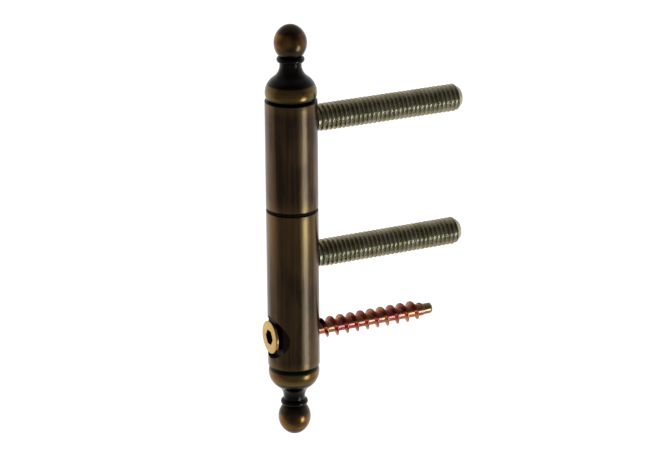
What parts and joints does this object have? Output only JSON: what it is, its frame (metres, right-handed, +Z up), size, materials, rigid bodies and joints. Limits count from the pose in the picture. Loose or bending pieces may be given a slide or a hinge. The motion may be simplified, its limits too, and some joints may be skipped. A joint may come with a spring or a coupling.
{
  "type": "screw-in hinge",
  "caption": "Round lift-off hinge with turned ball finials, a threaded stud out of each barrel and a countersunk fixing screw through the lower barrel.",
  "frame": {"origin": "where the frame stud's axis leaves the surface of the lower barrel", "axes": "+X along the studs, away from the barrels; +Z up the pivot axis, towards the door half"},
  "size_m": [0.0653, 0.016, 0.1317],
  "materials": {
    "bronzed_brass": "dark bronzed brass, rubbed bright on the edges",
    "yellow_zinc": "yellow zinc plated steel",
    "iridescent_zinc": "yellow to red iridescent zinc plated steel",
    "steel": "ground steel",
    "black_plastic": "black nylon"
  },
  "bodies": {
    "frame_half": {"lower_barrel": "bronzed_brass", "hinge_pin": "steel", "frame_stud": "yellow_zinc", "fixing_screw": "iridescent_zinc", "lower_finial": "bronzed_brass"},
    "washer": {"bearing_washer": "black_plastic"},
    "door_half": {"upper_barrel": "bronzed_brass", "door_stud": "yellow_zinc", "upper_finial": "bronzed_brass"}
  },
  "joints": [
    {"name": "pivot", "type": "hinge", "parent": "frame_half", "child": "washer", "pos_m": [-0.008, 0, 0.0158], "axis": [0, 0, 1], "continuous": true},
    {"name": "lift_off", "type": "slide", "parent": "washer", "child": "door_half", "axis": [0, 0, 1], "range_m": [0, 0.025]}
  ]
}
